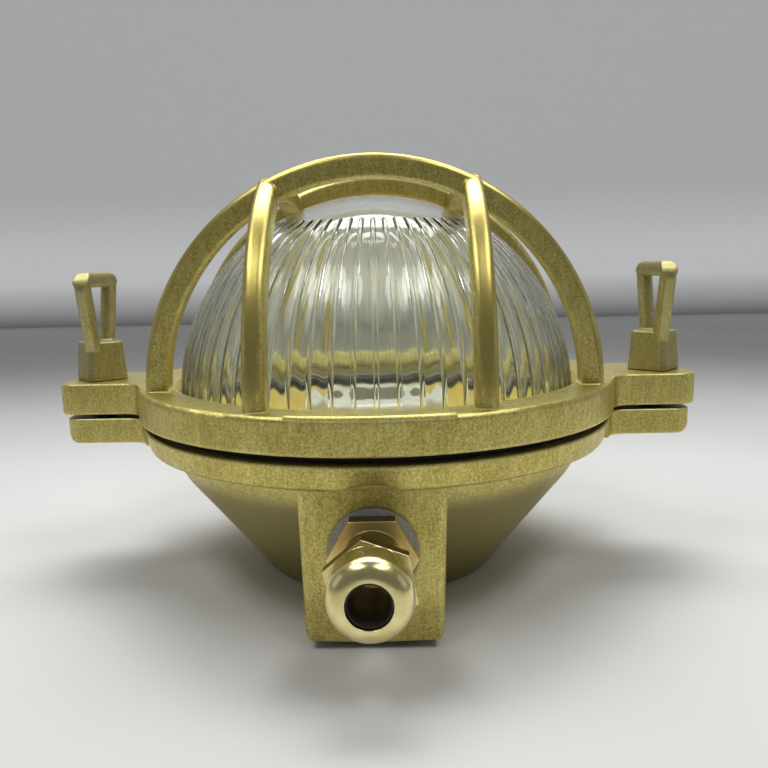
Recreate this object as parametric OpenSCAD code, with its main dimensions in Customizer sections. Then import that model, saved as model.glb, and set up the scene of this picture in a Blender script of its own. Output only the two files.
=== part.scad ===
// Round cast-brass bulkhead light with a crossed-arch guard, a ribbed glass dome and one cable gland.
// The back of the bowl lies in the plane Z = 0, which is the wall, and +Z points away from the wall.
// The gland leaves towards -Y and the two pairs of ears point along +X and -X. Millimetres.

/* [Base casting] */
// Height of the flange's underside above the wall
flange_under = 47; // [42:0.1:56]
// Height of the flange's rim
flange_h = 7.7; // [5:0.1:12]
// Step of the flange's rim behind the guard ring's
flange_step = 1.5; // [0:0.1:4]
// Step from the flange's rim in to the bowl
bowl_step = 10.9; // [8:0.1:14]
// Depth of the bowl's upright shoulder
shoulder_h = 7.2; // [5:0.1:12]
// Lean of the bowl's cone away from the axis, in degrees
cone_lean = 38; // [30:0.5:40]
// Radius where the shoulder turns into the cone
shoulder_round = 14; // [6:0.5:18]
// Radius where the cone turns into the flat back
foot_round = 4; // [3:0.5:8]
// Wall of the base casting
wall = 4.5; // [3.5:0.1:6]
// Diameter of the two holes for the wall screws
fixing_d = 5.5; // [4:0.1:7]
// Distance between the two wall screws
fixing_pitch = 56; // [52:1:58]

/* [Gland block] */
// Distance by which the block's front face stands out of the bowl
block_out = 5.9; // [4.5:0.1:7]
// Depth by which the block's inner end is buried in the bowl's foot
block_bury = 9.5; // [8:0.1:11]
// Width of the block at the wall
block_w = 39.6; // [38:0.2:44]
// Draft of the block's sides, in degrees
block_draft = 1.6; // [0:0.1:3]
// Radius of the block's lower corners
block_round = 4.5; // [2:0.1:6]
// Radius of the block's upright front edges
block_edge = 2; // [1:0.1:3]
// Height of the block's underside above the wall
block_lift = 1.5; // [0.5:0.1:4]
// Diameter of the clearance cut into the flange's rim above the gland
rim_cut_d = 41; // [36:0.5:44]

/* [Guard ring] */
// Wall of the guard ring round the glass flange
ring_wall = 5.8; // [4:0.1:9]
// Height of the guard ring
ring_h = 10.8; // [9:0.1:14]
// Gap between the glass and the ring's mouth
mouth_gap = 3; // [1.5:0.1:4]
// Gap between the flange and the ring
joint_gap = 2.65; // [1.8:0.05:4]
// Radius of the ring's edges
ring_edge = 1.4; // [0.5:0.1:2]
// Half the angle over which the front edge carries a raised lip, in degrees
lip_angle = 16; // [8:1:20]

/* [Ears] */
// Length of the guard ears beyond the ring
ear_out = 28.8; // [26:0.2:34]
// Distance by which the base ears end short of the guard ears
ear_setback = 1.8; // [0:0.1:4]
// Width of the ears
ear_w = 30.6; // [26:0.2:36]
// Corner radius of the ears in plan
ear_round = 6; // [3:0.2:9]
// Radius of the hollow between ear and ring
ear_hollow = 8; // [4:0.5:12]
// Height by which the base ears stand above the flange
ear_step = 1; // [0:0.1:1.5]

/* [Guard arches] */
// Distance of each arch's middle plane from the axis
arch_offset = 32.5; // [28:0.1:34]
// Gap between the ribbed glass and the arches at their feet
arch_gap = 3; // [1:0.1:5]
// Rise of the fore-and-aft arches between the other two
arch_crown = 2.4; // [1:0.1:6]
// Thickness of the arches along their radius
arch_t = 7.7; // [6:0.1:8.5]
// Width of the arches
arch_w = 6.6; // [4:0.1:8]
// Radius of the arches' outer edges
arch_edge = 2.2; // [0.5:0.1:3]

/* [Glass dome] */
// Outer radius of the glass sphere
glass_r = 70; // [68:0.2:71]
// Wall of the glass
glass_t = 4; // [3:0.1:6]
// Width of the glass flange beyond the dome
glass_lip = 8.5; // [7:0.1:11]
// Thickness of the glass flange
glass_flange_t = 5; // [4:0.1:5.5]
// Number of ribs
rib_count = 66; // [24:2:72]
// Width of a rib
rib_w = 1.7; // [1:0.1:2.2]
// Height of a rib
rib_h = 0.6; // [0.3:0.1:0.8]
// Diameter of the smooth cap
cap_d = 73; // [46:1:80]
// Turn of the ribs about the axis, in degrees
rib_turn = 1.3; // [0:0.1:5]

/* [Gaskets] */
// Thickness of the base gasket
base_gasket_t = 3.5; // [3:0.1:4.5]
// Depth of the groove that holds the base gasket
gasket_groove = 1.5; // [0.5:0.1:2]
// Thickness of the ring gasket
ring_gasket_t = 1.6; // [1:0.1:2]

/* [Toggle screws] */
// Distance of the screws from the guard ring's rim
toggle_out = 17.4; // [15:0.1:20]
// Side of the square boss at its foot
boss_foot = 14.8; // [13:0.1:17]
// Side of the square boss at its top
boss_top = 13; // [11:0.1:15]
// Height of the boss
boss_h = 13.8; // [10:0.1:18]
// Height of the loop above the boss
loop_h = 25.2; // [20:0.1:30]
// Width of the loop at its top
loop_w = 28.2; // [24:0.2:32]
// Thickness of the loop's bar
loop_bar = 5.4; // [4.5:0.1:6.5]
// Radius of the loop's outer corners
loop_round = 6; // [4:0.1:8]
// Outward lean of the loop's legs, in degrees
loop_lean = 12; // [6:0.5:14]
// Turn of the loops from the fore-and-aft direction, in degrees
loop_turn = 4; // [0:1:45]
// Diameter of the screw shank
shank_d = 8; // [6:0.5:10]

/* [Cable gland] */
// Height of the gland's axis above the wall
gland_z = 28.9; // [26:0.1:31]
// Width across flats of the gland's hexagons
gland_af = 22; // [20:0.5:24]
// Diameter of the gland's threads
gland_thread = 17; // [16:0.1:18]
// Diameter of the washer behind the gland
gland_washer_d = 25.7; // [24:0.1:28]
// Thickness of the washer behind the gland
gland_washer_t = 1.5; // [1:0.1:2.5]
// Thickness of the rear hexagon
gland_hex_t = 4.8; // [4:0.1:7]
// Length of bare thread between the rear hexagon and the nut
gland_neck = 14.4; // [4:0.1:16]
// Thickness of the nut's hexagon
nut_hex_t = 3.3; // [3:0.1:6]
// Length of the nut from its hexagon to its mouth
nut_barrel = 10.9; // [10:0.1:16]
// Turn of the nut's hexagon from flat side up, in degrees
nut_turn = 40; // [0:1:60]
// Diameter of the nut's mouth
nut_mouth = 11.9; // [11:0.1:13]
// Diameter of the cable that the seal takes
cable_d = 10.6; // [8:0.1:11]

/* [Lampholder] */
// Diameter of the lampholder's rim
holder_d = 50; // [46:0.5:52]
// Diameter of the lampholder's foot
holder_foot_d = 38; // [36:0.5:42]
// Height of the lampholder's rim above the wall
holder_top = 60.6; // [58:0.2:68]
// Diameter of the lamp thread
socket_d = 27; // [25:0.5:28]
// Thickness of the lampholder's bracket
bracket_t = 2; // [1.5:0.1:3]
// Width of the lampholder's bracket
bracket_w = 18; // [16:0.5:24]
// Distance between the bracket's two screws
bracket_pitch = 56; // [52:0.5:60]
// Height of the bosses under the bracket
bracket_boss_h = 7; // [5:0.1:9]

/* [Hidden] */

// Diameters that follow from the glass and the walls round it
seat_gap = 0.7;
mouth_d = 2 * (glass_r + mouth_gap);
glass_flange_d = 2 * (glass_r + glass_lip);
rebate_r = glass_flange_d / 2 + seat_gap;
ring_d = 2 * (rebate_r + ring_wall);
flange_d = ring_d - 2 * flange_step;
bowl_r = flange_d / 2 - bowl_step;
ear_reach = ring_d / 2 + ear_out;
base_ear_reach = ear_reach - ear_setback;
toggle_x = ring_d / 2 + toggle_out;
block_front = bowl_r + block_out;

$fn = 96;

// Air between pieces that move past each other, and between threads
move_gap = 0.3;
thread_gap = 0.05;
// Overlap that makes a cut pass right through
through = 1;

// Heights of the flange, the ring and the parts between them
flange_top = flange_under + flange_h;
ring_under = flange_top + joint_gap;
ring_top = ring_under + ring_h;
glass_seat = flange_top - gasket_groove + base_gasket_t;
glass_flange_top = glass_seat + glass_flange_t;
rebate_top = glass_flange_top + move_gap + ring_gasket_t;
groove_r = rebate_r;
gasket_inner_r = glass_r;
base_ear_top = flange_top + ear_step;

// The bowl's section, outside and inside
cone_top = flange_under - shoulder_h;
floor_r = bowl_r - cone_top * tan(cone_lean);
inner_r = bowl_r - wall;
floor_t = wall + 0.5;
cone_shift = wall / cos(cone_lean);
inner_floor_r = floor_r - cone_shift + floor_t * tan(cone_lean);
inner_cone_top = cone_top + (cone_shift - wall) / tan(cone_lean);
flange_draft = 1.7;

// The block round the gland, the clearance in front of it and its hollow
block_depth = block_front - floor_r + block_bury;
block_wall = wall + 0.5;
rim_clearance = 0.3;
hollow_top = flange_under - 1;

// Arches: radius that clears the glass, place of the crossings and radius of the flatter crowns
arch_foot_turn = 2;
arch_inner_r = sqrt(pow(glass_r + rib_h + arch_gap, 2) - pow(arch_offset - arch_w / 2, 2));
arch_r = arch_inner_r + arch_t;
crossing_h = sqrt(pow(arch_r, 2) - pow(arch_offset, 2));
crown_r = (pow(arch_offset, 2) + pow(arch_crown, 2)) / (2 * arch_crown);
crown_turn = asin((arch_offset + 1) / crown_r);
leg_turn = acos((arch_offset - 1) / arch_r);

// Glass sphere, and the angle at which the ribs end at the cap
glass_centre = glass_seat + 6;
rib_r = (rib_w * rib_w / 4 + rib_h * rib_h) / (2 * rib_h);
rib_end = acos(cap_d / 2 / glass_r);

// Places along the gland, measured outwards from the axis of the light
gland_seat = block_front + gland_washer_t;
gland_hex_front = gland_seat + gland_hex_t;
nut_back = gland_hex_front + gland_neck;
nut_mouth_y = nut_back + nut_hex_t + nut_barrel;
nut_lip = 4.6;
nut_shoulder = nut_mouth_y - nut_lip;
slip_t = 1.2;
neck_end = nut_shoulder - 6.3;
neck_bore = gland_thread / 2 - 2;
entry_length = 11.4;
seal_grip = 12;
seal_recess = 0.6;
locknut_t = 4;

// Toggle screw heights
boss_z = ring_top + move_gap;
boss_top_z = boss_z + boss_h;
loop_axis_z = boss_top_z + loop_h - loop_bar / 2;
shank_end = flange_under + 2.2;
base_hole_r = shank_d / 2 + thread_gap;
guard_hole_r = shank_d / 2 + 0.5;

// Heights inside the bowl
bracket_z = floor_t + bracket_boss_h;
holder_z = bracket_z + bracket_t;
screw_r = 2;
screw_head_r = 3.8;
screw_head_h = 2.4;
spring_washer_t = 0.9;
holder_foot_h = 13;
holder_screw_pitch = 20;
holder_screw_r = 1.7;
socket_base_h = 22;
socket_floor = holder_z + socket_base_h;
shell_recess = 5;
shell_t = 0.7;
terminal_w = 8;
terminal_h = 9;
earth_x = 22;
earth_y = 20;
earth_boss_h = 5;
boss_r = 4.6;

brass = "#a8985a";
bright_brass = "#c9bd7a";
rubber = "#1c1c1c";
glass_tint = "#dfe8e6";
porcelain = "#f2f0ea";
steel = "#b8b8b4";
grey_fibre = "#85837d";

// Direction from one point to the next, and the turn at a corner of an outline
function unit(v) = v / norm(v);
function before(pts, i) = unit(pts[(i + len(pts) - 1) % len(pts)] - pts[i]);
function after(pts, i) = unit(pts[(i + 1) % len(pts)] - pts[i]);
function half_angle(pts, i) = acos(before(pts, i) * after(pts, i)) / 2;
function turns_left(pts, i) = cross(-before(pts, i), after(pts, i)) > 0;
function reach(pts, rad, i) = rad[i] / tan(half_angle(pts, i));
function corner_centre(pts, rad, i) =
    pts[i] + unit(before(pts, i) + after(pts, i)) * rad[i] / sin(half_angle(pts, i));

// An outline, drawn anticlockwise, with a true arc of its own radius at each corner
module rounded_outline(pts, rad) {
    cut = [for (i = [0 : len(pts) - 1]) each rad[i] == 0 ? [pts[i]]
        : [pts[i] + before(pts, i) * reach(pts, rad, i), pts[i] + after(pts, i) * reach(pts, rad, i)]];
    difference() {
        union() {
            polygon(cut);
            for (i = [0 : len(pts) - 1])
                if (rad[i] > 0 && turns_left(pts, i)) corner_piece(pts, rad, i);
        }
        for (i = [0 : len(pts) - 1])
            if (rad[i] > 0 && !turns_left(pts, i)) corner_piece(pts, rad, i);
    }
}

// The part of a corner's circle that lies between its chord and the corner
module corner_piece(pts, rad, i) {
    intersection() {
        translate(corner_centre(pts, rad, i)) circle(r = rad[i]);
        polygon([pts[i] + before(pts, i) * reach(pts, rad, i), pts[i],
                 pts[i] + after(pts, i) * reach(pts, rad, i)]);
    }
}

// A copy on the other side of the plane X = 0
module both_sides() {
    children();
    mirror([1, 0, 0]) children();
}

// Turns a shape that stands on +Z so that it points along -Y from a place on the gland's axis
module on_gland(y) {
    translate([0, -y, gland_z]) rotate([90, 0, 0]) children();
}

// A six-sided bar of a given width across flats
module hexagon(af, h) {
    cylinder(d = af / cos(30), h = h, $fn = 6);
}

// An ear in plan, on the +X side, with a hollow where it leaves a ring of radius r
module ear_plan(out, r) {
    hollow_x = sqrt(pow(r + ear_hollow, 2) - pow(ear_w / 2 + ear_hollow, 2));
    rounded_outline([[0, -ear_w / 2], [out, -ear_w / 2], [out, ear_w / 2], [0, ear_w / 2]],
                    [0, ear_round, ear_round, 0]);
    for (side = [-1, 1])
        difference() {
            polygon([[0, 0], [hollow_x, 0], [hollow_x, side * (ear_w / 2 + ear_hollow)]]);
            translate([hollow_x, side * (ear_w / 2 + ear_hollow)]) circle(r = ear_hollow);
        }
}

// A solid ear between two heights, with rounded lower and upper ends
module ear(out, r, low, high, low_round, high_round) {
    intersection() {
        translate([0, 0, low]) linear_extrude(high - low) ear_plan(out, r);
        translate([0, ear_w + ear_hollow, 0]) rotate([90, 0, 0]) linear_extrude(2 * (ear_w + ear_hollow))
            rounded_outline([[0, low], [out, low], [out, high], [0, high]], [0, low_round, high_round, 0]);
    }
}

// The bowl and its flange as one solid of revolution
module bowl_outside() {
    rotate_extrude($fn = 180)
        rounded_outline(
            [[0, 0], [floor_r, 0], [bowl_r, cone_top], [bowl_r, flange_under],
             [flange_d / 2 - flange_draft, flange_under], [flange_d / 2, flange_top], [0, flange_top]],
            [0, foot_round, shoulder_round, 1.5, 1.5, 0.6, 0]);
}

// The hollow of the bowl
module bowl_inside() {
    rotate_extrude($fn = 180)
        rounded_outline(
            [[0, floor_t], [inner_floor_r, floor_t], [inner_r, inner_cone_top],
             [inner_r, flange_top + through], [0, flange_top + through]],
            [0, foot_round - wall / 2, shoulder_round - wall, 0, 0]);
}

// One half of the gland block, leaning outwards, with its lower corner and its front edge rounded
module block_half(half, front, low, corner, edge) {
    span = 2 * block_front;
    back = block_depth - front;
    translate([half, 0, low]) rotate([0, block_draft, 0]) intersection() {
        translate([0, back + through, 0]) rotate([90, 0, 0]) linear_extrude(block_depth + 2 * through)
            rounded_outline([[-span, 0], [0, 0], [0, span], [-span, span]], [0, corner, 0, 0]);
        translate([0, 0, -through]) linear_extrude(span)
            rounded_outline([[-span, -front], [0, -front], [0, back], [-span, back]], [0, edge, 0, 0]);
    }
}

// The gland block: drafted sides, round lower corners and softened upright edges
module gland_block(width, front, low, high, corner, edge) {
    intersection() {
        block_half(width / 2, front, low, corner, edge);
        mirror([1, 0, 0]) block_half(width / 2, front, low, corner, edge);
        translate([-block_front, -2 * block_front, -through])
            cube([2 * block_front, 4 * block_front, high + through]);
    }
}

// Bowl, flange, lower ears and gland block in one casting, with bosses on its floor
module base_casting() color(brass) {
    difference() {
        union() {
            bowl_outside();
            both_sides() ear(base_ear_reach, flange_d / 2, flange_under, base_ear_top, 5.4, 1);
            gland_block(block_w, block_front, block_lift, flange_under + 2, block_round, block_edge);
        }
        bowl_inside();
        gland_block(block_w - 2 * block_wall, block_front - block_wall, floor_t, hollow_top,
                    block_round, block_edge);
        on_gland(block_front + rim_clearance) cylinder(d = rim_cut_d, h = flange_d / 2);
        translate([0, 0, flange_top - gasket_groove])
            cylinder(r = groove_r, h = gasket_groove + ear_step + through, $fn = 180);
        on_gland(block_front - block_wall - through)
            cylinder(r = gland_thread / 2 + 2 * thread_gap, h = block_wall + 2 * through);
        both_sides() translate([toggle_x, 0, flange_under - through])
            cylinder(r = base_hole_r, h = flange_h + ear_step + 2 * through);
        for (turn = [-45, 135]) rotate([0, 0, turn]) translate([fixing_pitch / 2, 0, -through])
            cylinder(d = fixing_d, h = floor_t + 2 * through);
    }
    both_sides() translate([bracket_pitch / 2, 0, floor_t - wall / 2]) floor_boss(bracket_boss_h + wall / 2);
    translate([earth_x, earth_y, floor_t - wall / 2]) floor_boss(earth_boss_h + wall / 2);
}

// A boss that stands in the floor, with a blind hole for a screw
module floor_boss(h) {
    difference() {
        cylinder(r = boss_r, h = h);
        translate([0, 0, wall / 2 + 0.5]) cylinder(r = screw_r + thread_gap, h = h);
    }
}

// Flat rubber ring between the flange and the glass
module base_gasket() color(rubber) {
    translate([0, 0, flange_top - gasket_groove]) difference() {
        cylinder(r = groove_r - move_gap, h = base_gasket_t);
        translate([0, 0, -through]) cylinder(r = gasket_inner_r, h = base_gasket_t + 2 * through);
    }
}

// Section of an arch at its outer radius: flat sides, round outer edges and barely broken inner ones
module arch_section(outer, width) {
    rounded_outline([[outer - arch_t, -width / 2], [outer, -width / 2],
                     [outer, width / 2], [outer - arch_t, width / 2]],
                    [0.6, arch_edge, arch_edge, 0.6]);
}

// Half a hoop across the ring, its feet let into the ring's top
module arch() {
    rotate([90, 0, 0]) rotate([0, 0, -arch_foot_turn])
        rotate_extrude(angle = 180 + 2 * arch_foot_turn, $fn = 180) arch_section(arch_r, arch_w);
}

// A hoop whose legs run up to the crossings, with a flatter crown between them
module crowned_arch() {
    rotate([90, 0, 0]) {
        for (side = [0, 1]) mirror([side, 0, 0]) rotate([0, 0, -arch_foot_turn])
            rotate_extrude(angle = leg_turn + arch_foot_turn, $fn = 180) arch_section(arch_r, arch_w);
        translate([0, crossing_h + arch_crown - crown_r, 0]) rotate([0, 0, 90 - crown_turn])
            rotate_extrude(angle = 2 * crown_turn, $fn = 180) arch_section(crown_r, arch_w - 0.2);
    }
}

// Clamping ring, ears and two pairs of crossing arches in one casting
module guard_casting() color(brass) {
    lip_r = 0.9;
    difference() {
        union() {
            rotate_extrude($fn = 180)
                rounded_outline(
                    [[0, ring_under], [ring_d / 2, ring_under], [ring_d / 2, ring_top], [0, ring_top]],
                    [0, 0.8, ring_edge, 0]);
            both_sides() ear(ear_reach, ring_d / 2, ring_under, ring_top, 0.8, ring_edge);
        }
        translate([0, 0, ring_under - through]) cylinder(d = mouth_d, h = ring_h + 2 * through);
        translate([0, 0, ring_under - through]) cylinder(r = rebate_r, h = rebate_top - ring_under + through);
        both_sides() translate([toggle_x, 0, ring_under - through])
            cylinder(r = guard_hole_r, h = ring_h + 2 * through);
    }
    translate([0, 0, ring_top - 0.4]) for (side = [-1, 1]) {
        translate([0, side * arch_offset, 0]) arch();
        rotate([0, 0, 90]) translate([0, side * arch_offset, 0]) crowned_arch();
    }
    rotate([0, 0, -90 - lip_angle]) rotate_extrude(angle = 2 * lip_angle, $fn = 180)
        translate([ring_d / 2 - lip_r, ring_top - lip_r / 3]) circle(r = lip_r, $fn = 24);
}

// Thin rubber ring in the guard's rebate
module ring_gasket() color(rubber) {
    translate([0, 0, rebate_top - ring_gasket_t]) difference() {
        cylinder(r = rebate_r - move_gap, h = ring_gasket_t);
        translate([0, 0, -through]) cylinder(d = mouth_d + 1, h = ring_gasket_t + 2 * through);
    }
}

// Pressed glass: part of a sphere on a flange, with upright ribs from the flange to a smooth cap
module glass_dome() color(glass_tint, 0.45) {
    translate([0, 0, glass_centre]) {
        rotate_extrude($fn = 180) difference() {
            intersection() {
                circle(r = glass_r);
                translate([0, glass_seat - glass_centre]) square([glass_r + through, 2 * glass_r]);
            }
            circle(r = glass_r - glass_t);
        }
        for (i = [0 : rib_count - 1])
            rotate([0, 0, i * 360 / rib_count - rib_turn]) rotate([90, 0, 0]) rotate_extrude(angle = rib_end)
                translate([glass_r + rib_h - rib_r, 0]) circle(r = rib_r, $fn = 24);
    }
    translate([0, 0, glass_seat]) difference() {
        cylinder(d = glass_flange_d, h = glass_flange_t);
        translate([0, 0, -through]) cylinder(r = glass_r - glass_t / 2, h = glass_flange_t + 2 * through);
    }
}

// Square boss with rounded upright edges, tapering upwards, its corners fore, aft and to the sides
module tapered_boss() {
    corner = 0.87 / sqrt(2);
    side_view = [[-boss_foot / 2, 0], [boss_foot / 2, 0], [boss_top / 2, boss_h], [-boss_top / 2, boss_h]];
    intersection() {
        rotate([0, 0, 45]) rotate([90, 0, 0]) translate([0, 0, -boss_foot])
            linear_extrude(2 * boss_foot) polygon(side_view);
        rotate([0, 0, 135]) rotate([90, 0, 0]) translate([0, 0, -boss_foot])
            linear_extrude(2 * boss_foot) polygon(side_view);
        cylinder(r1 = boss_foot * corner, r2 = boss_top * corner, h = boss_h);
    }
}

// Section of the loop's bar: a square with round corners
module loop_section(side) {
    half = side / 2;
    soft = side * 0.4;
    rounded_outline([[-half, -half], [half, -half], [half, half], [-half, half]], [soft, soft, soft, soft]);
}

// The loop: two leaning legs let into a top bar, trimmed to one outline with rounded upper corners
module loop() {
    top_z = loop_axis_z - boss_z;
    leg_top_y = (loop_w - loop_bar) / 2 - 0.3;
    foot_z = boss_h * 0.2;
    leg_length = (top_z - foot_z) / cos(loop_lean);
    leg_side = loop_bar * 0.97;
    trim_z = top_z + loop_bar / 2 + 0.2;
    trim_low = leg_top_y + (leg_side / 2 - 0.1) / cos(loop_lean) - top_z * tan(loop_lean);
    trim_high = trim_low + trim_z * tan(loop_lean);
    intersection() {
        union() {
            translate([0, -loop_w / 2, top_z]) rotate([-90, 0, 0])
                linear_extrude(loop_w) loop_section(loop_bar);
            for (side = [0, 1]) mirror([0, side, 0])
                translate([0, leg_top_y - leg_length * sin(loop_lean), foot_z]) rotate([-loop_lean, 0, 0])
                    linear_extrude(leg_length) loop_section(leg_side);
        }
        translate([-loop_bar, 0, 0]) rotate([90, 0, 90]) linear_extrude(2 * loop_bar)
            rounded_outline(
                [[-trim_low, 0], [trim_low, 0], [trim_high, trim_z], [-trim_high, trim_z]],
                [0, 0, loop_round, loop_round]);
    }
}

// Cast screw with a stirrup loop on a tapered boss, placed on the right-hand ears
module toggle_screw() {
    translate([toggle_x, 0, boss_z]) rotate([0, 0, loop_turn]) {
        tapered_boss();
        loop();
        translate([0, 0, shank_end - boss_z]) cylinder(d = shank_d, h = boss_z - shank_end + through);
    }
}

module toggle_screw_left() color(brass) {
    mirror([1, 0, 0]) toggle_screw();
}

module toggle_screw_right() color(brass) {
    toggle_screw();
}

// Grey sealing washer between the block and the rear hexagon
module gland_washer() color(grey_fibre) {
    on_gland(block_front) difference() {
        cylinder(d = gland_washer_d, h = gland_washer_t);
        translate([0, 0, -through])
            cylinder(r = gland_thread / 2 + 2 * thread_gap, h = gland_washer_t + 2 * through);
    }
}

// Rear hexagon with a thread on each side and a bore right through
module gland_body() color(bright_brass) {
    difference() {
        union() {
            on_gland(gland_seat) intersection() {
                hexagon(gland_af, gland_hex_t);
                cylinder(r1 = gland_af, r2 = gland_af / cos(30) / 2 - 0.2, h = gland_hex_t);
            }
            on_gland(gland_seat - entry_length) cylinder(d = gland_thread, h = entry_length + through);
            on_gland(gland_hex_front - through)
                cylinder(d = gland_thread, h = neck_end - gland_hex_front + through);
        }
        on_gland(gland_seat - entry_length - through)
            cylinder(r = neck_bore, h = neck_end - gland_seat + entry_length + 2 * through);
    }
}

// Nut on the inside of the block
module gland_locknut() color(bright_brass) {
    on_gland(block_front - block_wall - locknut_t) difference() {
        hexagon(gland_af, locknut_t);
        translate([0, 0, -through]) cylinder(r = gland_thread / 2 + thread_gap, h = locknut_t + 2 * through);
    }
}

// Rubber sleeve that grips the cable, with a head under the nut and a nose in its mouth
module gland_seal() color(rubber) {
    head = nut_shoulder - slip_t - move_gap;
    difference() {
        union() {
            on_gland(neck_end - seal_grip) cylinder(r = neck_bore - thread_gap, h = seal_grip);
            on_gland(neck_end) cylinder(r = gland_thread / 2 - move_gap, h = head - neck_end);
            on_gland(head) cylinder(d = nut_mouth - 2 * move_gap, h = nut_mouth_y - seal_recess - head);
        }
        on_gland(neck_end - seal_grip - through)
            cylinder(d = cable_d, h = nut_mouth_y - neck_end + seal_grip + 2 * through);
    }
}

// Loose metal ring that lets the nut turn without dragging the seal
module gland_slip_ring() color(steel) {
    on_gland(nut_shoulder - slip_t - move_gap) difference() {
        cylinder(r = gland_thread / 2 - move_gap, h = slip_t);
        translate([0, 0, -through]) cylinder(d = nut_mouth - move_gap, h = slip_t + 2 * through);
    }
}

// Cap nut: short hexagon, round barrel and domed mouth
module gland_nut() color(bright_brass) {
    dome_round = (gland_af - nut_mouth) / 2 - 0.2;
    length = nut_mouth_y - nut_back;
    on_gland(nut_back) difference() {
        union() {
            rotate([0, 0, nut_turn]) intersection() {
                hexagon(gland_af, nut_hex_t);
                cylinder(r1 = gland_af, r2 = gland_af / cos(30) / 2 - 0.2, h = nut_hex_t);
            }
            rotate_extrude() rounded_outline([[0, 0], [gland_af / 2, 0], [gland_af / 2, length], [0, length]],
                                             [0, 0, dome_round, 0]);
        }
        translate([0, 0, -through])
            cylinder(r = gland_thread / 2 + thread_gap, h = nut_shoulder - nut_back + through);
        cylinder(d = nut_mouth, h = length + through);
    }
}

// Strap that carries the lampholder on the two bosses of the floor
module lampholder_bracket() color(steel) {
    half = bracket_w / 2;
    soft = bracket_w / 3;
    ends = bracket_pitch / 2 + half - 1;
    translate([0, 0, bracket_z]) linear_extrude(bracket_t) difference() {
        rounded_outline([[-ends, -half], [ends, -half], [ends, half], [-ends, half]],
                        [soft, soft, soft, soft]);
        for (side = [-1, 1]) {
            translate([side * bracket_pitch / 2, 0]) circle(r = screw_r + 0.3, $fn = 32);
            translate([side * holder_screw_pitch / 2, 0]) circle(r = holder_screw_r + 0.2, $fn = 32);
        }
    }
}

// A pan-head screw that stands on its shank, head upwards, with a slot
module pan_screw(r, head_r, head_h, length) {
    slot_w = 0.9;
    difference() {
        union() {
            translate([0, 0, -length]) cylinder(r = r, h = length + head_h / 2, $fn = 32);
            rotate_extrude($fn = 48) rounded_outline([[0, 0], [head_r, 0], [head_r, head_h], [0, head_h]],
                                                     [0, 0.2, head_h * 0.6, 0]);
        }
        translate([-head_r - through, -slot_w / 2, head_h * 0.55])
            cube([2 * (head_r + through), slot_w, head_h]);
    }
}

// A ring under a screw's head
module washer(r, hole_r, h) {
    difference() {
        cylinder(r = r, h = h, $fn = 48);
        translate([0, 0, -through]) cylinder(r = hole_r, h = h + 2 * through, $fn = 32);
    }
}

module bracket_screws() color(steel) {
    both_sides() translate([bracket_pitch / 2, 0, holder_z + spring_washer_t])
        pan_screw(screw_r, screw_head_r, screw_head_h, bracket_boss_h);
}

module bracket_washers() color(steel) {
    both_sides() translate([bracket_pitch / 2, 0, holder_z])
        washer(screw_head_r - 0.2, screw_r + 0.2, spring_washer_t);
}

// Porcelain lampholder: narrow foot, flared body, deep socket and two terminal pockets
module lampholder_body() color(porcelain) {
    flare_z = holder_z + holder_foot_h;
    difference() {
        rotate_extrude() rounded_outline(
            [[0, holder_z], [holder_foot_d / 2, holder_z], [holder_foot_d / 2, flare_z],
             [holder_d / 2, flare_z + 9], [holder_d / 2, holder_top], [0, holder_top]],
            [0, 1, 3, 4, 2.5, 0]);
        translate([0, 0, socket_floor]) cylinder(r = socket_d / 2 + shell_t + thread_gap, h = holder_top);
        for (side = [-1, 1]) {
            translate([-terminal_w / 2, side * holder_foot_d / 2 - terminal_w / 2, holder_z - through])
                cube([terminal_w, terminal_w, terminal_h + through]);
            translate([side * holder_screw_pitch / 2, 0, holder_z - through])
                cylinder(r = holder_screw_r + thread_gap, h = holder_foot_h - 2, $fn = 32);
        }
    }
}

// Threaded metal sleeve of the socket
module lampholder_shell() color(bright_brass) {
    translate([0, 0, socket_floor]) difference() {
        cylinder(r = socket_d / 2 + shell_t, h = holder_top - socket_floor - shell_recess);
        translate([0, 0, shell_t]) cylinder(d = socket_d, h = holder_top);
        translate([0, 0, -through]) cylinder(d = socket_d / 2, h = 2 * through + shell_t);
    }
}

// Sprung tongue at the bottom of the socket
module centre_contact() color(bright_brass) {
    tongue_r = socket_d / 6;
    translate([0, 0, socket_floor]) {
        cylinder(r = tongue_r, h = 1);
        cylinder(r = tongue_r / 2, h = 4);
        translate([0, 0, 4]) sphere(r = tongue_r / 2);
    }
}

module lampholder_screws() color(steel) {
    both_sides() translate([holder_screw_pitch / 2, 0, bracket_z]) rotate([180, 0, 0])
        pan_screw(holder_screw_r, screw_head_r - 0.8, screw_head_h, bracket_t + holder_foot_h - 5);
}

// Brass plates in the lampholder's two pockets, which take the wires
module terminal_plates() color(bright_brass) {
    plate_t = 3;
    for (side = [-1, 1]) mirror([0, side > 0 ? 0 : 1, 0])
        translate([-terminal_w / 2 + 0.3, holder_foot_d / 2 - terminal_w / 2, holder_z + 1.2]) difference() {
            cube([terminal_w - 0.6, plate_t, terminal_h - 1.2]);
            translate([terminal_w / 2 - 0.3, -through, terminal_h / 2 - 0.6]) rotate([-90, 0, 0])
                cylinder(r = 1.35, h = plate_t + 2 * through, $fn = 32);
        }
}

module terminal_screws() color(steel) {
    plate_t = 3;
    for (side = [-1, 1]) mirror([0, side > 0 ? 0 : 1, 0])
        translate([0, holder_foot_d / 2 - terminal_w / 2 + plate_t, holder_z + terminal_h / 2 + 0.6])
            rotate([-90, 0, 0]) pan_screw(1.3, 2.4, 1.6, plate_t - 0.2);
}

module earth_screw() color(bright_brass) {
    translate([earth_x, earth_y, floor_t + earth_boss_h + spring_washer_t])
        pan_screw(screw_r, screw_head_r, screw_head_h, earth_boss_h);
}

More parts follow.
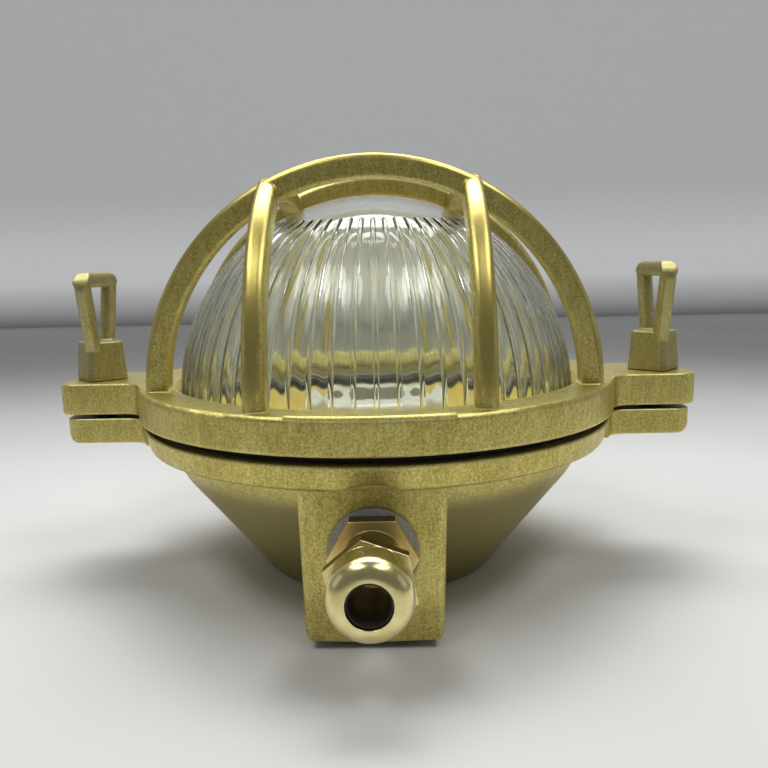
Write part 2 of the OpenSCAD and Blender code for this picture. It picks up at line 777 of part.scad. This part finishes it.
module earth_washer() color(steel) {
    translate([earth_x, earth_y, floor_t + earth_boss_h])
        washer(screw_head_r + 0.4, screw_r + 0.2, spring_washer_t);
}

base_casting();
base_gasket();
guard_casting();
ring_gasket();
glass_dome();
toggle_screw_left();
toggle_screw_right();
gland_washer();
gland_body();
gland_locknut();
gland_seal();
gland_slip_ring();
gland_nut();
lampholder_bracket();
bracket_screws();
bracket_washers();
lampholder_body();
lampholder_shell();
centre_contact();
lampholder_screws();
terminal_plates();
terminal_screws();
earth_screw();
earth_washer();
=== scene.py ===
import math

import bmesh
import bpy
from mathutils import Matrix, Vector


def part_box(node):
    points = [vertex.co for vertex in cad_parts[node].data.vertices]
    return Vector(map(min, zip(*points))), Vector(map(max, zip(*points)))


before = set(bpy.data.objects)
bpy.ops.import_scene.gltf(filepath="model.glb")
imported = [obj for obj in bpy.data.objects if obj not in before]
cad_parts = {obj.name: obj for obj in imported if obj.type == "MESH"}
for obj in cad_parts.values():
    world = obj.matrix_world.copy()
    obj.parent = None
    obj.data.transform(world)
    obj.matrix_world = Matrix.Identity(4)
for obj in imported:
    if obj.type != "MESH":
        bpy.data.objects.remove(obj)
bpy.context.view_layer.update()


# Base casting: the bowl with its flange, two lower ears and the block that takes the cable gland.
# Sand-cast brass, brushed over and left to dull, so it is olive and blotchy, with edges paler partly from
# wear and partly as a painted highlight.
# It carries everything else and is screwed to the wall through its floor.
MM = 0.001


def finish(name):
    """A new material with only its surface shader: returns the material, its tree and the shader."""
    material = bpy.data.materials.new(name)
    material.use_nodes = True
    tree = material.node_tree
    return material, tree, tree.nodes["Principled BSDF"]


def add_node(tree, kind, settings=None, sockets=None):
    """Adds a node with its settings and unlinked sockets filled in."""
    node = tree.nodes.new(kind)
    for key, value in (settings or {}).items():
        setattr(node, key, value)
    for key, value in (sockets or {}).items():
        node.inputs[key].default_value = value
    return node


def own_place(tree, scale=(1, 1, 1)):
    """The piece's own coordinates, stretched per axis."""
    place = add_node(tree, "ShaderNodeTexCoord")
    stretch = add_node(tree, "ShaderNodeMapping", None, {"Scale": scale})
    tree.links.new(place.outputs["Object"], stretch.inputs["Vector"])
    return stretch.outputs["Vector"]


def noise(tree, place, per_metre, detail=4.0, roughness=0.6, distortion=0.0):
    """Fractal noise with so many waves to the metre."""
    node = add_node(tree, "ShaderNodeTexNoise", None, {
        "Scale": per_metre, "Detail": detail, "Roughness": roughness, "Distortion": distortion})
    tree.links.new(place, node.inputs["Vector"])
    return node.outputs["Fac"]


def colour_steps(tree, value, steps):
    """Colours at given places between 0 and 1, blended between."""
    ramp = add_node(tree, "ShaderNodeValToRGB")
    stops = ramp.color_ramp.elements
    while len(stops) < len(steps):
        stops.new(0.5)
    for stop, (position, colour) in zip(stops, steps):
        stop.position = position
        stop.color = (*colour, 1)
    tree.links.new(value, ramp.inputs["Fac"])
    return ramp.outputs["Color"]


def span(tree, value, low, high, to_low, to_high):
    """Maps one range of values onto another."""
    node = add_node(tree, "ShaderNodeMapRange", None, {
        "From Min": low, "From Max": high, "To Min": to_low, "To Max": to_high})
    tree.links.new(value, node.inputs["Value"])
    return node.outputs["Result"]


def reckon(tree, operation, *values):
    """A sum on one to three values, each a socket or a number."""
    node = add_node(tree, "ShaderNodeMath", {"operation": operation})
    for socket, value in zip(node.inputs, values):
        if isinstance(value, (int, float)):
            socket.default_value = value
        else:
            tree.links.new(value, socket)
    return node.outputs["Value"]


def blend(tree, amount, under, over):
    """Lays a plain colour over another one."""
    node = add_node(tree, "ShaderNodeMix", {"data_type": "RGBA"})
    below, above = (socket for socket in node.inputs if socket.type == "RGBA")
    tree.links.new(amount, node.inputs["Factor"])
    tree.links.new(under, below)
    above.default_value = (*over, 1)
    return next(socket for socket in node.outputs if socket.type == "RGBA")


def tint(tree, under, layer, start, full, most, over):
    """Lays a colour on where a layer of noise goes from start to full, up to its greatest share."""
    return blend(tree, span(tree, layer, start, full, 0.0, most), under, over)


def facing_amount(tree, first, second):
    """How far two directions agree: 1 the same way, -1 opposite."""
    turn = add_node(tree, "ShaderNodeVectorMath", {"operation": "DOT_PRODUCT"})
    tree.links.new(first, turn.inputs[0])
    tree.links.new(second, turn.inputs[1])
    return turn.outputs["Value"]


def edge_amount(tree, radius):
    """1 on edges sharper than the radius and 0 on the flat, with the softened normal."""
    soft = add_node(tree, "ShaderNodeBevel", {"samples": 4}, {"Radius": radius}).outputs["Normal"]
    flat = add_node(tree, "ShaderNodeNewGeometry").outputs["Normal"]
    return span(tree, facing_amount(tree, soft, flat), 1.0, 0.9, 0.0, 1.0), soft


def corner_shade_amount(tree, reach):
    """1 deep in corners and 0 in the open, the mask of a painted shade."""
    shade = add_node(tree, "ShaderNodeAmbientOcclusion", {"samples": 4}, {"Distance": reach})
    return span(tree, shade.outputs["AO"], 0.75, 0.25, 0.0, 1.0)


def bumps(tree, height, strength, depth, normal=None):
    """Turns a height into a bumped normal."""
    node = add_node(tree, "ShaderNodeBump", None, {"Strength": strength, "Distance": depth})
    tree.links.new(height, node.inputs["Height"])
    if normal is not None:
        tree.links.new(normal, node.inputs["Normal"])
    return node.outputs["Normal"]


def cast_brass(name, dark, mid, light, rough):
    """Dull cast brass: fine mottling, brushed streaks, edges paler from wear and a painted highlight, corners
    darkened brown as painted shade, and a sandy skin.
    """
    material, tree, shader = finish(name)
    place = own_place(tree)
    # The darkest brown, for the real pits and for the painted shade in corners.
    pit_soot_and_shade = tuple(part * 0.5 for part in dark)
    # Paler brass for the edges, for wear and for a painted highlight.
    rubbed_and_glint = tuple(min(1.0, part + 0.14) for part in light)

    mottle = noise(tree, place, 1500, 4, 0.65)
    colour = colour_steps(tree, mottle, [(0.36, dark), (0.5, mid), (0.64, light)])
    cloud = noise(tree, place, 38, 4, 0.55, 0.4)
    colour = tint(tree, colour, cloud, 0.48, 0.8, 0.5, light)
    colour = tint(tree, colour, cloud, 0.5, 0.25, 0.45, dark)
    blotch = noise(tree, own_place(tree, (1, 1, 0.4)), 330, 3, 0.6)
    colour = tint(tree, colour, blotch, 0.5, 0.75, 0.55, light)
    colour = tint(tree, colour, blotch, 0.48, 0.25, 0.5, dark)
    streak = noise(tree, own_place(tree, (1, 1, 0.12)), 1700, 3, 0.7)
    colour = tint(tree, colour, streak, 0.5, 0.75, 0.55, light)
    colour = tint(tree, colour, streak, 0.46, 0.28, 0.5, dark)
    pits = noise(tree, place, 900, 2, 0.5)
    colour = tint(tree, colour, pits, 0.7, 0.78, 0.6, pit_soot_and_shade)
    # Painted shade: corners and recesses darkened brown by ambient occlusion, the same dark as the pits.
    colour = blend(tree, corner_shade_amount(tree, 5 * MM), colour, pit_soot_and_shade)

    # Paler edges: partly rubbed wear, partly a painted highlight.
    edges, soft = edge_amount(tree, 1.1 * MM)
    wear = noise(tree, place, 180, 3, 0.6)
    edge_wear_and_glint = reckon(tree, "MULTIPLY", edges, span(tree, wear, 0.35, 0.65, 0.3, 0.9))
    colour = blend(tree, edge_wear_and_glint, colour, rubbed_and_glint)

    sand = noise(tree, place, 2200, 3, 0.6)
    shader.inputs["Metallic"].default_value = 1.0
    tree.links.new(colour, shader.inputs["Base Color"])
    tree.links.new(span(tree, cloud, 0.3, 0.7, rough[1], rough[0]), shader.inputs["Roughness"])
    tree.links.new(bumps(tree, sand, 0.3, 0.12 * MM, soft), shader.inputs["Normal"])
    return material


def refinish_or_paint_light(material, centre, outward, low, high, reach, colour, rough):
    """Changes the faces that look away from a centre (or towards it), between two heights, within a reach."""
    tree = material.node_tree
    shader = tree.nodes["Principled BSDF"]
    own = add_node(tree, "ShaderNodeTexCoord")
    away = add_node(tree, "ShaderNodeVectorMath", {"operation": "SUBTRACT"}, {1: (0, 0, centre)})
    tree.links.new(own.outputs["Object"], away.inputs[0])
    straight = add_node(tree, "ShaderNodeVectorMath", {"operation": "NORMALIZE"})
    tree.links.new(away.outputs["Vector"], straight.inputs[0])
    facing = facing_amount(tree, straight.outputs["Vector"], own.outputs["Normal"])
    axes = add_node(tree, "ShaderNodeSeparateXYZ")
    tree.links.new(own.outputs["Object"], axes.inputs["Vector"])
    height = axes.outputs["Z"]
    radius = reckon(tree, "SQRT", reckon(tree, "ADD", reckon(tree, "POWER", axes.outputs["X"], 2.0),
                                         reckon(tree, "POWER", axes.outputs["Y"], 2.0)))

    start, full = (0.5, 0.75) if outward else (-0.3, -0.6)
    amount = span(tree, facing, start, full, 0.0, 0.9)
    for limit in (span(tree, height, low, low + 6 * MM, 0.0, 1.0),
                  span(tree, height, high, high + 1 * MM, 1.0, 0.0),
                  span(tree, radius, reach, reach + 2 * MM, 1.0, 0.0)):
        amount = reckon(tree, "MULTIPLY", amount, limit)

    cast_colour = shader.inputs["Base Color"].links[0].from_socket
    cast_rough = shader.inputs["Roughness"].links[0].from_socket
    tree.links.new(blend(tree, amount, cast_colour, colour), shader.inputs["Base Color"])
    kept_rough = reckon(tree, "MULTIPLY", reckon(tree, "SUBTRACT", 1.0, amount), cast_rough)
    new_rough = reckon(tree, "MULTIPLY", amount, rough)
    tree.links.new(reckon(tree, "ADD", new_rough, kept_rough), shader.inputs["Roughness"])


def dress(node_name, material):
    """Gives a CAD node its material."""
    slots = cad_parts[node_name].data.materials
    slots.clear()
    slots.append(material)


bowl_brass = cast_brass("bowl_cast_brass", dark=(0.37, 0.30, 0.072), mid=(0.555, 0.46, 0.128),
                        light=(0.76, 0.68, 0.255), rough=(0.34, 0.46))
wall_centre = 60 * MM  # height on the axis that the bowl's and the ring's walls stand round
# Painted light: the inward faces of bowl and ring are painted bright gold, standing in for the light that
# comes in through the glass.
painted_light_inside = {"centre": wall_centre, "outward": False, "colour": (0.98, 0.87, 0.45), "rough": 0.6}
# Painted shade: the bowl's outside below the flange is painted darker and greyer.
refinish_or_paint_light(bowl_brass, centre=wall_centre, outward=True, low=-10 * MM, high=46 * MM, reach=71 * MM,
         colour=(0.42, 0.37, 0.165), rough=0.5)
refinish_or_paint_light(bowl_brass, low=-10 * MM, high=60 * MM, reach=80 * MM, **painted_light_inside)
dress("base_casting", bowl_brass)


# Base gasket: a flat black rubber ring let into the flange's top.
# The glass stands on it, and it shows as the dark line between flange and ring.
def moulded_rubber(name, dark, light):
    """Matt rubber with a fine moulded grain."""
    material, tree, shader = finish(name)
    place = own_place(tree)
    dust = noise(tree, place, 260, 4, 0.6)
    tree.links.new(colour_steps(tree, dust, [(0.35, dark), (0.7, light)]), shader.inputs["Base Color"])
    tree.links.new(span(tree, dust, 0.3, 0.7, 0.5, 0.72), shader.inputs["Roughness"])
    grain = noise(tree, place, 1800, 2, 0.5)
    tree.links.new(bumps(tree, grain, 0.3, 0.1 * MM), shader.inputs["Normal"])
    return material


soot_black = ((0.008, 0.008, 0.008), (0.022, 0.022, 0.021))
dress("base_gasket", moulded_rubber("gasket_rubber", *soot_black))


# Lampholder: a white glazed porcelain body with a brass thread sleeve and a sprung contact.
# It is screwed from below to a steel strap, which two screws hold to bosses on the bowl's floor.
def white_porcelain(name):
    """White glaze over fired clay, a little uneven and greyed by age."""
    material, tree, shader = finish(name)
    glaze = noise(tree, own_place(tree), 120, 3, 0.5)
    colour = colour_steps(tree, glaze, [(0.35, (0.47, 0.47, 0.42)), (0.7, (0.56, 0.56, 0.51))])
    tree.links.new(colour, shader.inputs["Base Color"])
    tree.links.new(span(tree, glaze, 0.3, 0.7, 0.1, 0.2), shader.inputs["Roughness"])
    tree.links.new(bumps(tree, glaze, 0.08, 0.3 * MM), shader.inputs["Normal"])
    return material


def plated_steel(name):
    """Zinc-plated steel with faint drawn lines."""
    material, tree, shader = finish(name)
    lines = noise(tree, own_place(tree, (0.15, 1, 1)), 900, 3, 0.6)
    colour = colour_steps(tree, lines, [(0.35, (0.42, 0.42, 0.41)), (0.7, (0.64, 0.64, 0.62))])
    tree.links.new(colour, shader.inputs["Base Color"])
    shader.inputs["Metallic"].default_value = 1.0
    tree.links.new(span(tree, lines, 0.3, 0.7, 0.28, 0.42), shader.inputs["Roughness"])
    return material


def turned_brass(name, mid, light, rough, ring_scale):
    """Bright brass off the lathe: fine rings, slight tarnish and a painted highlight along the edges."""
    material, tree, shader = finish(name)
    tarnish = noise(tree, own_place(tree), 150, 4, 0.6, 0.3)
    colour = colour_steps(tree, tarnish, [(0.35, mid), (0.65, light)])
    edges, soft = edge_amount(tree, 0.35 * MM)
    # Painted highlight: edges lightened past the brightest brass.
    colour = blend(tree, edges, colour, tuple(min(1.0, part * 1.2) for part in light))
    tree.links.new(colour, shader.inputs["Base Color"])
    shader.inputs["Metallic"].default_value = 1.0
    tree.links.new(span(tree, tarnish, 0.3, 0.7, rough[1], rough[0]), shader.inputs["Roughness"])
    rings = noise(tree, own_place(tree, ring_scale), 2600, 2, 0.5)
    tree.links.new(bumps(tree, rings, 0.1, 0.04 * MM, soft), shader.inputs["Normal"])
    return material


strap_steel = plated_steel("strap_plated_steel")
contact_brass = turned_brass("contact_brass", mid=(0.50, 0.38, 0.13), light=(0.70, 0.57, 0.25),
                             rough=(0.22, 0.36), ring_scale=(0.03, 0.03, 1))
dress("lampholder_body", white_porcelain("porcelain_glaze"))
for steel_node in ("lampholder_bracket", "bracket_screws", "bracket_washers", "lampholder_screws",
                   "terminal_screws", "earth_washer"):
    dress(steel_node, strap_steel)
for brass_node in ("lampholder_shell", "centre_contact", "terminal_plates", "earth_screw"):
    dress(brass_node, contact_brass)


# Glass dome: clear pressed glass with a smooth cap, narrow upright ribs and hollow flutes between them.
# It stands on the base gasket and is clamped by the guard ring.
def pressed_glass(name, flutes, turn, cap_radius, foot_radius, centre, inside):
    """Clear glass, faintly green: fluted and bright outside, hazy where the plunger pressed it inside."""
    material, tree, shader = finish(name)
    place = own_place(tree)
    axes = add_node(tree, "ShaderNodeSeparateXYZ")
    tree.links.new(place, axes.inputs["Vector"])
    angle = reckon(tree, "ARCTAN2", axes.outputs["Y"], axes.outputs["X"])
    hollow = reckon(tree, "COSINE", reckon(tree, "MULTIPLY_ADD", angle, flutes, flutes * turn))
    flat = reckon(tree, "ADD", reckon(tree, "POWER", axes.outputs["X"], 2.0),
                  reckon(tree, "POWER", axes.outputs["Y"], 2.0))
    rise = reckon(tree, "SUBTRACT", axes.outputs["Z"], centre)
    reach = reckon(tree, "SQRT", flat)
    distance = reckon(tree, "SQRT", reckon(tree, "ADD", flat, reckon(tree, "POWER", rise, 2.0)))
    outer = span(tree, distance, inside + 1.0 * MM, inside + 3.0 * MM, 0.0, 1.0)
    depth = reckon(tree, "MULTIPLY", span(tree, reach, cap_radius, 1.25 * cap_radius, 0.0, 1.0),
                   span(tree, reach, 0.0, foot_radius, 0.0, 1.0))
    flute = reckon(tree, "MULTIPLY", reckon(tree, "MULTIPLY", hollow, depth),
                   reckon(tree, "MULTIPLY", outer, -0.5))

    waves = noise(tree, place, 70, 2, 0.5)
    clear = reckon(tree, "MULTIPLY", outer, span(tree, waves, 0.3, 0.7, 0.01, 0.06))
    hazy = reckon(tree, "MULTIPLY", reckon(tree, "SUBTRACT", 1.0, outer),
                  span(tree, waves, 0.3, 0.7, 0.06, 0.11))
    shader.inputs["Base Color"].default_value = (0.955, 0.985, 0.905, 1)
    shader.inputs["Transmission Weight"].default_value = 1.0
    shader.inputs["IOR"].default_value = 1.5
    tree.links.new(reckon(tree, "ADD", clear, hazy), shader.inputs["Roughness"])
    wavy = bumps(tree, waves, 0.05, 0.4 * MM)
    tree.links.new(bumps(tree, flute, 1.0, 0.3 * MM, wavy), shader.inputs["Normal"])
    return material


dome_outside = 70 * MM
dome_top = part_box("glass_dome")[1][2]
dress("glass_dome", pressed_glass("dome_pressed_glass", flutes=66, turn=math.radians(1.3),
                                  cap_radius=36 * MM, foot_radius=dome_outside,
                                  centre=dome_top - dome_outside, inside=66 * MM))
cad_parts["glass_dome"].visible_shadow = False  # clear glass lets the lamps light what it covers


# Guard: clamping ring, two upper ears and two pairs of crossing arches in one casting.
# The same dull brass as the base, but hands and cloths have rubbed the arches' outer faces bright.
# The thin ring gasket, of tan gum rubber, sits in its rebate.
guard_brass = cast_brass("guard_cast_brass", dark=(0.385, 0.312, 0.077), mid=(0.58, 0.485, 0.135),
                         light=(0.78, 0.70, 0.265), rough=(0.32, 0.44))
arch_foot = 70 * MM
above_guard = 200 * MM
refinish_or_paint_light(guard_brass, centre=68 * MM, outward=True, low=arch_foot, high=above_guard, reach=90 * MM,
         colour=(0.56, 0.46, 0.135), rough=0.28)
# Painted light: the ring's inner wall is painted bright gold, as in the bowl.
refinish_or_paint_light(guard_brass, low=40 * MM, high=69 * MM, reach=90 * MM, **painted_light_inside)
dress("guard_casting", guard_brass)
dress("ring_gasket", moulded_rubber("gum_rubber", (0.50, 0.37, 0.14), (0.66, 0.52, 0.24)))


# Toggle screws: cast loops on tapered bosses, one at each ear, which clamp the guard by hand.
# Duller and greyer than the castings, because they are not brushed.
toggle_brass = cast_brass("toggle_cast_brass", dark=(0.33, 0.285, 0.105), mid=(0.44, 0.385, 0.155),
                          light=(0.54, 0.485, 0.23), rough=(0.38, 0.52))
dress("toggle_screw_left", toggle_brass)
dress("toggle_screw_right", toggle_brass)


# Cable gland: grey washer, turned body with a hexagon, locknut, seal, slip ring and domed cap nut.
# Turned from bar and polished, so it is yellower and brighter than the castings.
def grey_fibre(name):
    """Pressed grey fibre, matt and slightly speckled."""
    material, tree, shader = finish(name)
    speckle = noise(tree, own_place(tree), 700, 4, 0.7)
    colour = colour_steps(tree, speckle, [(0.35, (0.24, 0.24, 0.23)), (0.7, (0.38, 0.375, 0.36))])
    tree.links.new(colour, shader.inputs["Base Color"])
    tree.links.new(span(tree, speckle, 0.3, 0.7, 0.6, 0.8), shader.inputs["Roughness"])
    tree.links.new(bumps(tree, speckle, 0.2, 0.15 * MM), shader.inputs["Normal"])
    return material


def paint_shade_on_top_flats(material, behind):
    """Paints the flats that look up dark, as painted shade and a painted reflection of the shaded flange
    above, behind a place along the gland.
    """
    tree = material.node_tree
    shader = tree.nodes["Principled BSDF"]
    own = add_node(tree, "ShaderNodeTexCoord")
    place = add_node(tree, "ShaderNodeSeparateXYZ")
    tree.links.new(own.outputs["Object"], place.inputs["Vector"])
    facing = add_node(tree, "ShaderNodeSeparateXYZ")
    tree.links.new(own.outputs["Normal"], facing.inputs["Vector"])
    amount = reckon(tree, "MULTIPLY", span(tree, facing.outputs["Z"], 0.5, 0.75, 0.0, 0.85),
                    span(tree, place.outputs["Y"], behind, behind + 0.2 * MM, 0.0, 1.0))
    unshaded = shader.inputs["Base Color"].links[0].from_socket
    tree.links.new(blend(tree, amount, unshaded, (0.10, 0.08, 0.025)), shader.inputs["Base Color"])


gland_rings = (0.03, 1, 0.03)
nut_brass = turned_brass("nut_turned_brass", mid=(0.68, 0.58, 0.24), light=(0.86, 0.77, 0.40),
                         rough=(0.16, 0.28), ring_scale=gland_rings)
body_brass = turned_brass("gland_body_brass", mid=(0.76, 0.58, 0.22), light=(0.90, 0.74, 0.36),
                          rough=(0.3, 0.44), ring_scale=gland_rings)
nut_hexagon = 3.2 * MM
before_body = -100 * MM
# Painted shade: the upward flats of the nut's hexagon, and of the body and locknut, are darkened.
paint_shade_on_top_flats(nut_brass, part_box("gland_nut")[1][1] - nut_hexagon)
paint_shade_on_top_flats(body_brass, before_body)
dress("gland_washer", grey_fibre("washer_grey_fibre"))
dress("gland_body", body_brass)
dress("gland_locknut", body_brass)
dress("gland_slip_ring", strap_steel)
dress("gland_seal", moulded_rubber("seal_rubber", *soot_black))
dress("gland_nut", nut_brass)


# Floor: plain pale paper, wide enough to lie under every view.
# It belongs to the stage, not to the light.
def pale_paper(name):
    """Pale, matt paper with a barely seen tone."""
    material, tree, shader = finish(name)
    tone = noise(tree, own_place(tree), 6, 2, 0.5)
    colour = colour_steps(tree, tone, [(0.35, (0.60, 0.60, 0.59)), (0.7, (0.64, 0.64, 0.63))])
    tree.links.new(colour, shader.inputs["Base Color"])
    shader.inputs["Roughness"].default_value = 0.9
    return material


def stage_sheet(name, place, material):
    """A flat square sheet of the stage, three metres from its middle to each side."""
    mesh = bpy.data.meshes.new(name)
    shape = bmesh.new()
    bmesh.ops.create_grid(shape, x_segments=2, y_segments=2, size=3.0, matrix=place)
    shape.to_mesh(mesh)
    shape.free()
    mesh.materials.append(material)
    sheet = bpy.data.objects.new(name, mesh)
    bpy.context.scene.collection.objects.link(sheet)


stage_sheet("floor", Matrix.Identity(4), pale_paper("floor_paper"))


# Backdrop: a pale cloth hung behind the light that glows by itself as painted light, with a painted shade at
# its dim foot.
# The glass shows its brightness, and the dim foot shows as a darker band.
def glowing_backdrop(name):
    """Pale cloth that glows by height as painted light, over its lowest 300 mm, with a painted shade at its
    foot.
    """
    material, tree, shader = finish(name)
    axes = add_node(tree, "ShaderNodeSeparateXYZ")
    tree.links.new(own_place(tree), axes.inputs["Vector"])
    glow = colour_steps(tree, span(tree, axes.outputs["Z"], 0.0, 300 * MM, 0.0, 1.0), [
        (0.0, (0.07, 0.07, 0.07)), (0.1, (0.22, 0.222, 0.224)), (0.27, (0.43, 0.435, 0.44)),
        (0.45, (0.43, 0.435, 0.44)), (0.8, (0.33, 0.334, 0.338))])
    tree.links.new(glow, shader.inputs["Emission Color"])
    shader.inputs["Emission Strength"].default_value = 1.0
    shader.inputs["Base Color"].default_value = (0.2, 0.2, 0.2, 1)
    shader.inputs["Roughness"].default_value = 0.95
    return material


hung = Matrix.Translation((0, 1.2, 3.0)) @ Matrix.Rotation(math.radians(90), 4, "X")
stage_sheet("backdrop", hung, glowing_backdrop("backdrop_cloth"))


# Lamps: soft boxes above, behind and before the light, weak ones at its sides, and a dim room.
# The two before it stand apart, so each arch shows a bright line near each edge.
def soft_lamp(name, place, aim, width, depth, watts):
    """A soft box at a place, turned towards a point."""
    lamp = bpy.data.lights.new(name, "AREA")
    lamp.shape = "RECTANGLE"
    lamp.size = width
    lamp.size_y = depth
    lamp.energy = watts
    lamp.spread = math.radians(68)
    stand = bpy.data.objects.new(name, lamp)
    stand.location = place
    stand.rotation_euler = (Vector(aim) - Vector(place)).to_track_quat("-Z", "Y").to_euler()
    bpy.context.scene.collection.objects.link(stand)


middle = (0, 0, 100 * MM)
soft_lamp("lamp_above_behind", (0, 0.32, 0.90), middle, width=1.3, depth=0.34, watts=1.9)
soft_lamp("lamp_before_left", (-0.42, -0.24, 0.90), middle, width=0.64, depth=0.24, watts=0.44)
soft_lamp("lamp_before_right", (0.42, -0.24, 0.90), middle, width=0.64, depth=0.24, watts=0.44)
soft_lamp("lamp_left", (-1.0, -0.15, 0.35), middle, width=0.7, depth=0.5, watts=0.05)
soft_lamp("lamp_right", (1.0, -0.15, 0.35), middle, width=0.7, depth=0.5, watts=0.05)

world = bpy.data.worlds.new("studio_air")
world.use_nodes = True
air = world.node_tree.nodes["Background"]
air.inputs["Color"].default_value = (0.98, 0.99, 1.0, 1)
air.inputs["Strength"].default_value = 0.18
bpy.context.scene.world = world


# Camera: a little above the ring and close in front of the gland, as the photograph was taken.
# Its place, turn and lens were fitted to the outlines of the ring, arches, ears and gland.
eye = Vector((7.28, -282.46, 108.43)) * MM
yaw, pitch, roll = (math.radians(angle) for angle in (-0.919, 8.930, -1.214))
ahead = Vector((math.sin(yaw) * math.cos(pitch), math.cos(yaw) * math.cos(pitch), -math.sin(pitch)))
level_right = Vector((math.cos(yaw), -math.sin(yaw), 0))
level_up = level_right.cross(ahead)
right = math.cos(roll) * level_right + math.sin(roll) * level_up
up = right.cross(ahead)
camera_data = bpy.data.cameras.new("camera")
camera_data.sensor_width = 36
camera_data.lens = 35.9
camera_data.clip_start = 10 * MM
camera = bpy.data.objects.new("camera", camera_data)
camera.matrix_world = Matrix.Translation(eye) @ Matrix((right, up, -ahead)).transposed().to_4x4()
bpy.context.scene.collection.objects.link(camera)
bpy.context.scene.camera = camera
bpy.context.scene.view_settings.view_transform = "Standard"
